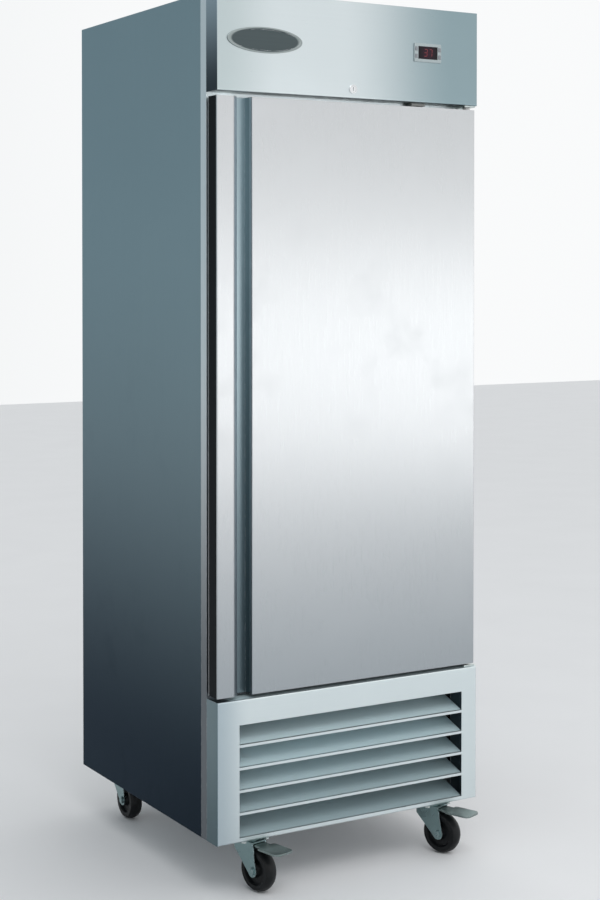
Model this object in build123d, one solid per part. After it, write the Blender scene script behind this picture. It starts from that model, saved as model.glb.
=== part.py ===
from build123d import *
import math
import os

os.makedirs("parts", exist_ok=True)

# A single-door, bottom-mounted reach-in refrigerator on four swivel casters, in millimetres.
# +X is to the right of a person facing the door, +Y runs from the door to the back, +Z is up.
# It is built with Y = 0 on the door's front face and X = 0 on the middle, and the last lines move
# it so that the origin lies on the floor under the middle of its own bounding box.

# Overall sizes
width = 736.0
depth = 771.0
body_height = 1969.0

# Sheets and insulated walls
sheet = 1.2
liner_sheet = 1.0
deck_sheet = 2.0
side_wall = 55.0
back_wall = 50.0
roof_wall = 60.0
floor_wall = 55.0
lintel_wall = 48.0
frame_return = 28.0  # how far the front frame wraps round onto the cabinet's sides
corner_radius = 3.0  # on the folded front edges of the header and the grille

# Front panels
header_height = 231.0
grille_height = 332.0
header_gap = 11.0
grille_gap = 9.0
door_short = 8.0  # how much narrower the door is than the cabinet
door_overlap_top = 37.0
door_overlap_bottom = 39.0

# Door section
door_thickness = 42.0
lip_flat = 43.6
bevel_width = 13.4
bevel_depth = 9.0
lip_thickness = 13.0
channel_width = 35.0
channel_depth = 30.0
undercut = 24.0
channel_draft = 2.0
trim = 2.5
gasket_stand = 10.0  # the seal's room between the door's back and the cabinet's face
gasket_width = 20.0
gasket_gap = 0.4
gasket_inset = 16.0

# Door hinge
hinge_inset_x = 12.0
hinge_inset_y = 20.0
hinge_plate = 4.0
pin_radius = 5.0
pin_engagement = 16.0
bush_radius = 9.0
running_fit = 0.05
axial_gap = 0.3

# Header fittings
badge_length = 200.0
badge_height = 60.0
badge_thickness = 2.5
badge_from_left = 126.5
fitting_drop = 109.0  # from the top of the cabinet to the badge's and the controller's centre line
bezel_length = 80.0
bezel_height = 46.0
bezel_proud = 3.0
controller_from_left = 584.0
controller_body = (71.0, 29.0, 45.0)
window_length = 57.0
window_height = 31.0
button_length = 7.0
button_height = 12.0
button_gap = 0.3
button_travel = 0.8
lock_rise = 22.0
lock_radius = 8.0
lock_sleeve_radius = 11.0
lock_depth = 30.0
bolt_width = 12.0
bolt_thickness = 8.0
bolt_travel = 22.0
bolt_gap = 0.3

# Grille
grille_stile_left = 58.5
grille_stile_right = 45.0
grille_top_rail = 59.0
grille_bottom_rail = 10.0
louvre_count = 5
louvre_depth = 78.0
louvre_rise = 26.0
louvre_lip = 6.0
louvre_side_gap = 3.0  # between the louvres' ends and the cabinet's posts

# Shelves
shelf_count = 3
shelf_first = 0.252  # of the opening's height, from the cabinet's inner floor to the first shelf
shelf_pitch = 0.252  # of the same height, from one shelf to the next
shelf_depth = 560.0
shelf_front = 120.0
shelf_wire = 1.6
shelf_frame_wire = 3.0
shelf_wire_pitch = 26.0
pilaster_depth = 8.0
pilaster_width = 20.0
pilaster_pitch = 50.0
clip_depth = 9.0
clip_height = 10.0

# Casters
wheel_radius = 50.0
wheel_width = 32.0
caster_trail = 35.0
fork_gap = 37.0
fork_plate = 3.0
crown_over_wheel = 13.0
plate_over_crown = 12.0  # from the fork's crown up to the machine deck
plate_size = 74.0
plate_thickness = 3.0
axle_radius = 6.0
kingpin_radius = 6.0
pedal_reach = 129.0
pedal_width = 56.0
pedal_pin_radius = 3.0
pedal_pin_ahead = 27.0
pedal_pin_over_wheel = 6.3
front_casters_in = 108.0
rear_casters_in = 82.0
front_kingpin = 45.0
rear_kingpin = 690.0
caster_turns = {"front_left": 12.0, "front_right": 21.0, "rear_left": 0.0, "rear_right": 25.0}

# Refrigeration
rail_leg = 30.0
rear_cover_inset = 19.0
condenser = (-300.0, 60.0, 110.0, 160.0, 18.0, 258.0)  # its last two are above the machine deck
condenser_fan_radius = 92.0
condenser_fan_at = (-120.0, 138.0)  # from the middle, and above the machine deck
evaporator_cover = (-230.0, 230.0, 180.0, 640.0)
evaporator_drop = 164.0
evaporator_fan_radius = 72.0
evaporator_fan_y = 290.0
fan_blade_thickness = 2.0
shaft_radius = 3.0
compressor_radius = 72.0
compressor_at = (130.0, 580.0)
pipe_radius = 4.0
cable_radius = 4.5
gland_at = (280.0, 63.0)  # from the middle, and above the machine deck

# Places worked out from the sizes above
half = width / 2
door_stand = door_thickness + gasket_stand
crown_height = 2 * wheel_radius + crown_over_wheel
pedal_pin_height = 2 * wheel_radius + pedal_pin_over_wheel
caster_height = crown_height + plate_over_crown
floor_z = caster_height
top_z = floor_z + body_height
grille_top = floor_z + grille_height
door_bottom = grille_top + grille_gap
header_bottom = top_z - header_height
door_top = header_bottom - header_gap
door_left = -half
door_right = half - door_short
face_y = door_stand
inner_half = half - side_wall
inner_floor = door_bottom + door_overlap_bottom
inner_roof = top_z - roof_wall
inner_back = depth - back_wall
lintel_z = door_top - door_overlap_top
machine_top = inner_floor - floor_wall
machine_ceiling_z = machine_top - liner_sheet
hinge_x = door_right - hinge_inset_x
hinge_y = hinge_inset_y
lock_z = header_bottom + lock_rise
fitting_z = top_z - fitting_drop
controller_x = controller_from_left - half
badge_x = badge_from_left - half
panel_half = half - sheet
deck_top = floor_z + deck_sheet
rear_cover_y = depth - rear_cover_inset
condenser_box = (*condenser[:4], deck_top + condenser[4], deck_top + condenser[5])
condenser_fan_centre = (condenser_fan_at[0], deck_top + condenser_fan_at[1])
gland_centre = (gland_at[0], deck_top + gland_at[1])

parts = {}


def block(x0, x1, y0, y1, z0, z1):
    """A box between two corners."""
    centre = Pos((x0 + x1) / 2, (y0 + y1) / 2, (z0 + z1) / 2)
    return centre * Box(x1 - x0, y1 - y0, z1 - z0)


def rod(start, end, radius):
    """A round bar from one point to another."""
    start = Vector(*start)
    way = Vector(*end) - start
    return Solid.make_cylinder(radius, way.length, Plane(origin=start, z_dir=way.normalized()))


def prism_x(points, x0, x1):
    """An outline in Y and Z, run along X."""
    face = make_face(Polyline(*points, close=True))
    return Pos(x0, 0, 0) * extrude(Plane.YZ * face, x1 - x0)


def group(solids):
    """Separate solids that share a node."""
    return Compound(children=list(solids))


def front_pan(z0, z1, y1, radius):
    """A sheet-metal pan, open at the back, with its front edges folded to a radius."""
    outer = block(-half, half, 0, y1, z0, z1)
    outer = fillet(outer.faces().sort_by(Axis.Y)[0].edges(), radius)
    inner = block(-panel_half, panel_half, sheet, y1 + radius * 2, z0 + sheet, z1 - sheet)
    inner = fillet(inner.faces().sort_by(Axis.Y)[0].edges(), radius - sheet)
    return outer - inner


# ---------------------------------------------------------------- cabinet shell


def outer_panels():
    """Stainless side sheets, the roof sheet and the plain back sheet."""
    side_y = face_y + frame_return
    left = block(-half, -panel_half, side_y, depth, floor_z, top_z)
    right = block(panel_half, half, side_y, depth, floor_z, top_z)
    roof = block(-panel_half, panel_half, face_y + sheet, depth, top_z - sheet, top_z)
    back = block(-panel_half, panel_half, depth - sheet, depth, machine_top, top_z - sheet)
    return left, right, roof, back


def face_frame():
    """The folded frame round the doorway: two posts that wrap onto the sides, head and sill."""
    plate = block(inner_half, half, face_y, face_y + sheet, machine_top, top_z)
    low_plate = block(half - grille_stile_right + louvre_side_gap, half, face_y, face_y + sheet,
                      deck_top, machine_top)
    wrap = block(panel_half, half, face_y, face_y + frame_return, floor_z, top_z)
    post = plate + low_plate + wrap
    posts = [post, mirror(post, Plane.YZ)]
    head = block(-inner_half, inner_half, face_y, face_y + sheet, lintel_z, top_z)
    sill = block(-inner_half, inner_half, face_y, face_y + sheet, machine_top, inner_floor)
    return group(posts + [head, sill])


def liner():
    """The food compartment's inner box, in flat sheets, with the back of the lintel."""
    t = liner_sheet
    y0 = face_y + sheet
    left = block(-inner_half - t, -inner_half, y0, inner_back + t, inner_floor - t, inner_roof + t)
    right = block(inner_half, inner_half + t, y0, inner_back + t, inner_floor - t, inner_roof + t)
    back = block(-inner_half, inner_half, inner_back, inner_back + t, inner_floor - t, inner_roof + t)
    base = block(-inner_half, inner_half, y0, inner_back, inner_floor - t, inner_floor)
    lintel_y = y0 + lintel_wall
    roof = block(-inner_half, inner_half, lintel_y, inner_back, inner_roof, inner_roof + t)
    lintel_back = block(-inner_half, inner_half, lintel_y - t, lintel_y, lintel_z + t, inner_roof + t)
    lintel_under = block(-inner_half, inner_half, y0, lintel_y, lintel_z, lintel_z + t)
    return group([left, right, back, base, roof, lintel_back, lintel_under])


def insulation():
    """The foam between the skins, as one slab to each wall."""
    t = liner_sheet
    y0 = face_y + sheet
    y1 = depth - sheet
    roof_z = top_z - sheet
    slab_half = inner_half + t
    left = block(-panel_half, -slab_half, y0, y1, machine_top, roof_z)
    right = block(slab_half, panel_half, y0, y1, machine_top, roof_z)
    back = block(-slab_half, slab_half, inner_back + t, y1, machine_top, roof_z)
    base = block(-slab_half, slab_half, y0, inner_back + t, machine_top, inner_floor - t)
    roof = block(-slab_half, slab_half, y0, inner_back + t, inner_roof + t, roof_z)
    lintel = block(-inner_half, inner_half, y0, y0 + lintel_wall - t, lintel_z + t, inner_roof + t)
    return group([left, right, back, base, roof, lintel])


def base_frame():
    """Angle rails round the machine deck."""
    leg = rail_leg
    thick = 2.5
    rail_half = panel_half - 0.5
    y0 = face_y + sheet + 1.0
    y1 = rear_cover_y - 2.0
    upright = block(rail_half - thick, rail_half, y0, y1, deck_top, deck_top + leg)
    foot = block(rail_half - leg, rail_half, y0, y1, deck_top, deck_top + thick)
    rails = [upright + foot, mirror(upright + foot, Plane.YZ)]
    cross_half = rail_half - leg
    for back, way in ((louvre_depth + 4.0, 1), (y1, -1)):
        y_thick = sorted((back, back + way * thick))
        y_leg = sorted((back, back + way * leg))
        upright = block(-cross_half, cross_half, *y_thick, deck_top, deck_top + leg)
        foot = block(-cross_half, cross_half, *y_leg, deck_top, deck_top + thick)
        rails.append(upright + foot)
    return group(rails)


def machine_ceiling():
    """The plain sheet that closes the foam over the machine space."""
    return block(-panel_half, panel_half, face_y + sheet, rear_cover_y, machine_ceiling_z, machine_top)


def compressor_deck():
    """The flat steel deck that carries the machinery and takes the caster bolts."""
    return block(-panel_half, panel_half, corner_radius + 2, depth - sheet, floor_z, deck_top)


def rear_cover():
    """A slotted sheet that closes the machine space, set in a little from the back."""
    z0 = deck_top
    z1 = machine_top
    cover = block(-panel_half, panel_half, rear_cover_y, rear_cover_y + sheet, z0, z1)
    slot_count = 9
    slot_height = 8.0
    slot_pitch = 26.0
    slot_low = z0 + 70.0
    slots = []
    for row in range(slot_count):
        z = slot_low + row * slot_pitch
        for x0, x1 in ((-300.0, -40.0), (-10.0, 230.0)):
            slots.append(block(x0, x1, rear_cover_y - 1, rear_cover_y + sheet + 1, z, z + slot_height))
    x, z = gland_centre
    gland_hole = rod((x, rear_cover_y - 1, z), (x, rear_cover_y + sheet + 1, z), cable_radius + 3.5)
    return cover - slots - gland_hole


# ---------------------------------------------------------------- header


def header_panel():
    """The folded fascia over the door, cut for the controller, the lock and its bolt."""
    pan = front_pan(header_bottom, top_z, door_stand, corner_radius)
    long, tall, _ = controller_body
    window = block(controller_x - long / 2, controller_x + long / 2, -1, sheet + 1,
                   fitting_z - tall / 2, fitting_z + tall / 2)
    lock_hole = rod((0, -1, lock_z), (0, sheet + 1, lock_z), lock_sleeve_radius - 2)
    bolt_x = bolt_width / 2 + bolt_gap
    bolt_y0, bolt_y1 = bolt_place()
    bolt_slot = block(-bolt_x, bolt_x, bolt_y0 - bolt_gap, bolt_y1 + bolt_gap,
                      header_bottom - 1, header_bottom + sheet + 1)
    return pan - window - lock_hole - bolt_slot


def name_badge():
    """A plain oval plate with a raised rim and a blank field."""
    plate = extrude(Ellipse(badge_length / 2, badge_height / 2), badge_thickness)
    plate = fillet(plate.faces().sort_by(Axis.Z)[-1].edges(), badge_thickness * 0.4)
    rim = 6.0
    field = extrude(Ellipse(badge_length / 2 - rim, badge_height / 2 - rim), 1.0)
    plate -= Pos(0, 0, badge_thickness - 0.8) * field
    return Pos(badge_x, 0, fitting_z) * Rot(90, 0, 0) * plate


def button_places():
    """Centres of the four keys beside the display, two on each side."""
    out = (window_length + bezel_length) / 4 + 0.2
    up = bezel_height / 4 - 2.5
    return {
        "key_set": (controller_x - out, fitting_z + up),
        "key_light": (controller_x - out, fitting_z - up),
        "key_up": (controller_x + out, fitting_z + up),
        "key_down": (controller_x + out, fitting_z - up),
    }


def controller_bezel():
    """The controller's light plastic front and the body behind it."""
    x0 = controller_x - bezel_length / 2
    x1 = controller_x + bezel_length / 2
    z0 = fitting_z - bezel_height / 2
    z1 = fitting_z + bezel_height / 2
    front = block(x0, x1, -bezel_proud, 0, z0, z1)
    front = fillet(front.edges().filter_by(Axis.Y), 3.0)
    front = fillet(front.faces().sort_by(Axis.Y)[0].edges(), 1.2)
    long, tall, deep = controller_body
    body = block(controller_x - long / 2, controller_x + long / 2, 0, deep,
                 fitting_z - tall / 2, fitting_z + tall / 2)
    window = block(controller_x - window_length / 2, controller_x + window_length / 2,
                   -bezel_proud - 1, -bezel_proud + 1.5,
                   fitting_z - window_height / 2, fitting_z + window_height / 2)
    bezel = front + body - window
    for x, z in button_places().values():
        bezel -= button_block(x, z, button_gap, -bezel_proud - 1, -bezel_proud + 2.6)
    return bezel


def button_block(x, z, grow, y0, y1):
    """The outline of one key, grown on every side by a clearance."""
    return block(x - button_length / 2 - grow, x + button_length / 2 + grow, y0, y1,
                 z - button_height / 2 + 1.5 - grow, z + button_height / 2 - 1.5 + grow)


def display_window():
    """The dark lens over the display."""
    lens = block(controller_x - window_length / 2, controller_x + window_length / 2,
                 -bezel_proud - 0.3, -bezel_proud + 1.5,
                 fitting_z - window_height / 2, fitting_z + window_height / 2)
    return fillet(lens.faces().sort_by(Axis.Y)[0].edges(), 0.25)


def keys():
    """One moulded key for each pocket of the bezel."""
    shapes = {}
    for name, (x, z) in button_places().items():
        cap = button_block(x, z, 0, -bezel_proud - 1.0, -bezel_proud + 1.5)
        shapes[name] = fillet(cap.faces().sort_by(Axis.Y)[0].edges(), 0.6)
    return shapes


def bolt_place():
    """Where the lock's bolt lies from front to back."""
    y0 = lock_depth - bolt_thickness - 3.0
    return y0, y0 + bolt_thickness


def lock_housing():
    """The lock's sleeve, which is bored for the barrel, and the guide for its bolt."""
    flange = rod((0, -2.5, lock_z), (0, 0, lock_z), lock_sleeve_radius)
    flange = fillet(flange.faces().sort_by(Axis.Y)[0].edges(), 0.8)
    bolt_y0, bolt_y1 = bolt_place()
    sleeve = rod((0, 0, lock_z), (0, bolt_y0 - 2.0, lock_z), lock_sleeve_radius - 2)
    guide = block(-12, 12, bolt_y0 - 2.0, bolt_y1 + 2.0, header_bottom + sheet, lock_z + 24)
    bore = rod((0, -4, lock_z), (0, bolt_y0 - 1.0, lock_z), lock_radius - 2 + running_fit)
    front_bore = rod((0, -4, lock_z), (0, 3, lock_z), lock_radius + running_fit)
    slot_x = bolt_width / 2 + bolt_gap
    slot = block(-slot_x, slot_x, bolt_y0 - bolt_gap, bolt_y1 + bolt_gap,
                 header_bottom, lock_z + 30)
    return flange + sleeve + guide - bore - front_bore - slot


def lock_cylinder():
    """The key barrel, with its keyway and a flat drive at the back."""
    head = rod((0, -2.0, lock_z), (0, 2.5, lock_z), lock_radius)
    head = fillet(head.faces().sort_by(Axis.Y)[0].edges(), 0.6)
    bolt_y0, _ = bolt_place()
    barrel = rod((0, 2.5, lock_z), (0, bolt_y0 - 1.5, lock_z), lock_radius - 2)
    keyway = block(-0.9, 0.9, -3, 3.0, lock_z - 4.5, lock_z + 4.5)
    return head + barrel - keyway


def lock_bolt():
    """The square bolt that drops into the top of the door."""
    y0, y1 = bolt_place()
    low = header_bottom + 1.5
    bolt = block(-bolt_width / 2, bolt_width / 2, y0, y1, low, lock_z + 16)
    return chamfer(bolt.faces().sort_by(Axis.Z)[0].edges(), 1.0)


def door_switch():
    """The reed switch under the header, which reads a magnet in the door."""
    body = block(190, 230, 30, 44, header_bottom - 6, header_bottom)
    return fillet(body.faces().sort_by(Axis.Z)[0].edges(), 1.5)


# ---------------------------------------------------------------- grille


def louvre_grille():
    """The lower front panel: a folded pan whose opening is crossed by sloping louvres."""
    pan = front_pan(floor_z, grille_top, door_stand, corner_radius)
    pan -= block(-panel_half, panel_half, sheet, door_stand + 1, floor_z - 1, floor_z + sheet + 4)
    x0 = -half + grille_stile_left
    x1 = half - grille_stile_right
    z0 = floor_z + grille_bottom_rail
    z1 = grille_top - grille_top_rail
    pan -= block(x0, x1, -1, sheet + 5, z0, z1)
    pitch = (z1 - z0) / louvre_count
    for row in range(louvre_count):
        low = z0 + row * pitch - (louvre_lip if row == 0 else 0)
        high = low + louvre_lip
        blade = prism_x([
            (0, low),
            (0, high),
            (louvre_depth, high + louvre_rise),
            (louvre_depth, high + louvre_rise - sheet),
            (sheet, high - sheet),
            (sheet, low),
        ], x0, x1)
        pan += blade
    return pan


# ---------------------------------------------------------------- hinges


def hinge_brackets():
    """Two bent brackets screwed to the cabinet's face, each with its pin."""
    x0 = hinge_x - 14.0
    x1 = half - 2.0
    leg_x0 = hinge_x - 6.0
    leg_height = 38.0
    low_plate = block(x0, x1, 6, face_y, grille_top, grille_top + hinge_plate)
    low_leg = block(leg_x0, x1, face_y - hinge_plate, face_y,
                    grille_top, grille_top + hinge_plate + leg_height)
    low_pin = rod((hinge_x, hinge_y, grille_top + hinge_plate),
                  (hinge_x, hinge_y, door_bottom + pin_engagement), pin_radius)
    low = low_plate + low_leg + low_pin
    high_plate = block(x0, x1, 6, face_y, header_bottom - hinge_plate, header_bottom)
    high_leg = block(leg_x0, x1, face_y - hinge_plate, face_y,
                     header_bottom - hinge_plate - leg_height, header_bottom)
    high_pin = rod((hinge_x, hinge_y, header_bottom - hinge_plate),
                   (hinge_x, hinge_y, door_top - pin_engagement), pin_radius)
    high = high_plate + high_leg + high_pin
    holes = [rod((x, face_y - hinge_plate - 1, z), (x, face_y + 1, z), 2.5)
             for x, z in bracket_screws()]
    return group([low - holes, high - holes])


def bracket_screws():
    """Where the screws go through the hinge brackets' legs."""
    x = (hinge_x - 6.0 + half - 2.0) / 2
    offsets = (14.0, 32.0)
    low = [(x, grille_top + hinge_plate + up) for up in offsets]
    high = [(x, header_bottom - hinge_plate - up) for up in offsets]
    return low + high


def hinge_bushes():
    """Plastic bushes pressed into the door's ends, running on the pins."""
    low_end = grille_top + hinge_plate + axial_gap
    low = rod((hinge_x, hinge_y, low_end),
              (hinge_x, hinge_y, door_bottom + pin_engagement + 4), bush_radius)
    low -= rod((hinge_x, hinge_y, low_end - 1),
               (hinge_x, hinge_y, door_bottom + pin_engagement + 1), pin_radius + running_fit)
    high_end = header_bottom - hinge_plate - axial_gap
    high = rod((hinge_x, hinge_y, door_top - pin_engagement - 4),
               (hinge_x, hinge_y, high_end), bush_radius)
    high -= rod((hinge_x, hinge_y, door_top - pin_engagement - 1),
                (hinge_x, hinge_y, high_end + 1), pin_radius + running_fit)
    return group([low, high])


def bush_pockets():
    """The round pockets that the bushes fill in the door."""
    low = rod((hinge_x, hinge_y, door_bottom - 1),
              (hinge_x, hinge_y, door_bottom + pin_engagement + 4), bush_radius)
    high = rod((hinge_x, hinge_y, door_top - pin_engagement - 4),
               (hinge_x, hinge_y, door_top + 1), bush_radius)
    return [low, high]


# ---------------------------------------------------------------- door


def door_outline():
    """The door's section: a flat lip, its bevel, the undercut finger channel and the face."""
    lip_end = lip_flat + bevel_width
    channel_end = lip_end + channel_width
    pocket = lip_end - undercut
    points = [
        (0, door_thickness),
        (0, 0),
        (lip_flat, 0),
        (lip_end, bevel_depth),
        (lip_end, lip_thickness),
        (pocket, lip_thickness),
        (pocket, channel_depth),
        (channel_end - channel_draft, channel_depth),
        (channel_end, 0),
        (door_right - door_left, 0),
        (door_right - door_left, door_thickness),
    ]
    section = make_face(Polyline(*points, close=True))
    soft = section.vertices().sort_by_distance((lip_flat, 0, 0))[0]
    section = fillet(soft, 8.0)
    for point in ((0, 0), (channel_end, 0), (door_right - door_left, 0)):
        corner = section.vertices().sort_by_distance((point[0], point[1], 0))[0]
        section = fillet(corner, 2.0)
    for point in (points[3], points[4]):
        corner = section.vertices().sort_by_distance((point[0], point[1], 0))[0]
        section = fillet(corner, 1.4)
    return Pos(door_left, 0) * section


def door_core():
    """The door's section inside its skin."""
    return offset(door_outline(), -sheet, kind=Kind.INTERSECTION)


def along_door(section, z0, z1):
    """A section of the door run between two heights."""
    return Pos(0, 0, z0) * extrude(section, z1 - z0)


def bolt_pocket():
    """The pocket in the top of the door that the lock's bolt drops into."""
    y0, y1 = bolt_place()
    spare = 1.5
    return block(-bolt_width / 2 - spare, bolt_width / 2 + spare, y0 - spare, y1 + spare,
                 door_top - bolt_travel, door_top + 1)


def door_skin():
    """The folded stainless face of the door, with the finger channel along its free edge."""
    skin = along_door(door_outline() - door_core(), door_bottom, door_top)
    back = block(door_left - 1, door_right + 1, door_thickness - sheet, door_thickness + 1,
                 door_bottom - 1, door_top + 1)
    edge = block(door_left - 1, door_left + sheet, corner_radius, door_thickness,
                 door_bottom - 1, door_top + 1)
    return skin - back - edge


def door_edge_trim():
    """Black plastic: a strip down the free edge and a cap over each end of the door."""
    strip = block(door_left, door_left + sheet, corner_radius, door_thickness - sheet,
                  door_bottom, door_top)
    core = door_core()
    low = along_door(core, door_bottom, door_bottom + trim)
    high = along_door(core, door_top - trim, door_top)
    return group([strip] + [cap - bush_pockets() - bolt_pocket() for cap in (low, high)])


def door_foam():
    """The door's foam, as slabs for the lip, the free edge, the web behind the channel, the rest."""
    core = along_door(door_core(), door_bottom + trim, door_top - trim)
    lip_end = door_left + lip_flat + bevel_width
    pocket = lip_end - undercut - sheet
    face_x = lip_end + channel_width + sheet
    z0 = door_bottom
    z1 = door_top
    lip_back = lip_thickness - sheet
    web_front = channel_depth + sheet
    back = door_thickness
    lip = core & block(door_left, lip_end, 0, lip_back, z0, z1)
    edge = core & block(door_left, pocket, lip_back, back, z0, z1)
    web = core & block(pocket, face_x, web_front, back, z0, z1)
    rest = core & block(face_x, door_right, 0, back, z0, z1)
    rest = rest - bush_pockets() - bolt_pocket()
    return group([lip, edge, web, rest])


def door_liner():
    """The inner sheet of the door, with a raised plug that stands in the doorway."""
    y0 = door_thickness - sheet
    plate = block(door_left, door_right, y0, door_thickness, door_bottom, door_top)
    plug_half = inner_half - 12.0
    plug_z0 = inner_floor + 12.0
    plug_z1 = lintel_z - 12.0
    plug_y1 = face_y + 6.0
    plug = block(-plug_half, plug_half, door_thickness, plug_y1, plug_z0, plug_z1)
    plug = fillet(plug.faces().sort_by(Axis.Y)[-1].edges(), 6.0)
    hollow = block(-plug_half + 30, plug_half - 30, plug_y1 - 5, plug_y1 + 1,
                   plug_z0 + 30, plug_z1 - 30)
    return plate + plug - hollow


def door_gasket():
    """The magnetic bulb seal, a strip along each side of the door."""
    y0 = door_thickness
    y1 = face_y - gasket_gap
    x0 = door_left + gasket_inset
    x1 = hinge_x - 10.0
    z0 = door_bottom + 13.0
    z1 = door_top - 13.0
    w = gasket_width
    sides = [
        block(x0, x0 + w, y0, y1, z0, z1),
        block(x1 - w, x1, y0, y1, z0, z1),
        block(x0 + w, x1 - w, y0, y1, z0, z0 + w),
        block(x0 + w, x1 - w, y0, y1, z1 - w, z1),
    ]
    strips = []
    for strip, axis in zip(sides, (Axis.Z, Axis.Z, Axis.X, Axis.X)):
        crown = strip.edges().filter_by(axis).sort_by(Axis.Y)[-2:]
        strips.append(fillet(crown, 3.5))
    return group(strips)


# ---------------------------------------------------------------- inside the cabinet


def pilaster_rows():
    """The front and back lines of the shelf posts."""
    return shelf_front + 60.0, shelf_front + shelf_depth - 60.0


def shelf_pilasters():
    """Four slotted channels on the liner's sides, which hold the shelf clips."""
    z0 = inner_floor + 40.0
    z1 = lintel_z - 40.0
    slot_count = int((z1 - z0) / pilaster_pitch)
    posts = []
    for y in pilaster_rows():
        post = block(inner_half - pilaster_depth, inner_half,
                     y - pilaster_width / 2, y + pilaster_width / 2, z0, z1)
        post -= block(inner_half - pilaster_depth + sheet, inner_half + 1,
                      y - pilaster_width / 2 + sheet, y + pilaster_width / 2 - sheet, z0 - 1, z1 + 1)
        slots = []
        for row in range(slot_count):
            z = z0 + (row + 0.5) * pilaster_pitch
            slots.append(block(inner_half - pilaster_depth - 1, inner_half - pilaster_depth + sheet + 1,
                               y - 5, y + 5, z, z + 4))
        post -= slots
        posts += [post, mirror(post, Plane.YZ)]
    return group(posts)


def shelf_heights():
    """The height of each shelf's frame wire."""
    opening = lintel_z - inner_floor
    return [inner_floor + (shelf_first + row * shelf_pitch) * opening for row in range(shelf_count)]


def shelf_clips():
    """Four bent clips under each shelf."""
    x1 = inner_half - pilaster_depth
    clips = []
    for z in shelf_heights():
        top = z - shelf_frame_wire - axial_gap
        for y in pilaster_rows():
            seat = block(x1 - clip_depth, x1, y - 7, y + 7, top - 2.0, top)
            leg = block(x1 - 2.0, x1, y - 7, y + 7, top - clip_height, top)
            clip = seat + leg
            clips += [clip, mirror(clip, Plane.YZ)]
    return group(clips)


def wire_shelf():
    """A welded wire shelf: a round frame, two bearers and a row of thin wires."""
    shelf_half = inner_half - pilaster_depth - 3.0
    y0 = shelf_front
    y1 = shelf_front + shelf_depth
    frame_r = shelf_frame_wire
    corner = 12.0
    loop = RectangleRounded(2 * shelf_half - 2 * frame_r, shelf_depth - 2 * frame_r, corner).wire()
    start = loop @ 0
    ring = sweep(Plane(origin=start, z_dir=loop % 0) * Circle(frame_r), path=loop)
    shelf = Pos(0, (y0 + y1) / 2, 0) * ring
    for y in (y0 + shelf_depth / 3, y0 + shelf_depth * 2 / 3):
        shelf += rod((-shelf_half + frame_r, y, -1.2), (shelf_half - frame_r, y, -1.2), 2.2)
    lift = frame_r - shelf_wire
    wires = int((2 * shelf_half - 40) / shelf_wire_pitch)
    first = -(wires - 1) / 2 * shelf_wire_pitch
    for n in range(wires):
        x = first + n * shelf_wire_pitch
        shelf += rod((x, y0 + frame_r, lift), (x, y1 - frame_r, lift), shelf_wire)
    return shelf


def finned_coil(x0, x1, y0, y1, z0, z1):
    """A finned block between end plates, with the return bends of its tube."""
    plate = 3.0
    bend = 12.0
    rows = int((z1 - z0 - 20) / (4 * bend))
    coil = block(x0, x1, y0 + 3, y1 - 3, z0 + 3, z1 - 3)
    coil += block(x0, x0 + plate, y0, y1, z0, z1)
    coil += block(x1 - plate, x1, y0, y1, z0, z1)
    half_ring = Torus(bend, pipe_radius, major_angle=180)
    y = (y0 + y1) / 2
    for row in range(rows):
        z = z0 + 10 + 2 * bend + row * 4 * bend
        coil += Pos(x1, y, z) * Rot(90, 0, 0) * Rot(0, 0, -90) * half_ring
        coil += Pos(x0, y, z) * Rot(90, 0, 0) * Rot(0, 0, 90) * half_ring
    return coil


def fan_blades(radius, hub_radius, hub_height, blades):
    """A bladed rotor about Z, bored for a motor shaft, with its hub's foot at Z = 0."""
    rotor = rod((0, 0, 0), (0, 0, hub_height), hub_radius)
    length = radius - hub_radius + 4
    for n in range(blades):
        blade = Box(length, hub_radius * 1.7, fan_blade_thickness)
        blade = fillet(blade.edges().filter_by(Axis.Z), hub_radius * 0.3)
        blade = Pos(hub_radius - 4 + length / 2, 0, hub_height / 2) * Rot(28, 0, 0) * blade
        rotor += Rot(0, 0, 360 * n / blades) * blade
    trimmed = rotor & rod((0, 0, -hub_height), (0, 0, 2 * hub_height), radius)
    return trimmed - rod((0, 0, -1), (0, 0, hub_height - 3), shaft_radius + running_fit)


def evaporator_hood():
    """The sheet cover under the roof, open to the fan below and slotted at the back."""
    x0, x1, y0, y1 = evaporator_cover
    z0 = inner_roof - evaporator_drop
    hood = block(x0, x1, y0, y1, z0, inner_roof)
    hood = fillet(hood.edges().filter_by(Axis.Z), 6.0)
    hood -= block(x0 + sheet, x1 - sheet, y0 + sheet, y1 - sheet, z0 + sheet, inner_roof + 1)
    hood -= rod((0, evaporator_fan_y, z0 - 1), (0, evaporator_fan_y, z0 + sheet + 1),
                evaporator_fan_radius + 6)
    for row in range(4):
        z = z0 + 30 + row * 26
        hood -= block(x0 + 40, x1 - 40, y1 - sheet - 1, y1 + 1, z, z + 12)
    return hood


def evaporator_motor_z():
    """The foot of the evaporator fan's hub."""
    return inner_roof - evaporator_drop + sheet + 4.0


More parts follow.
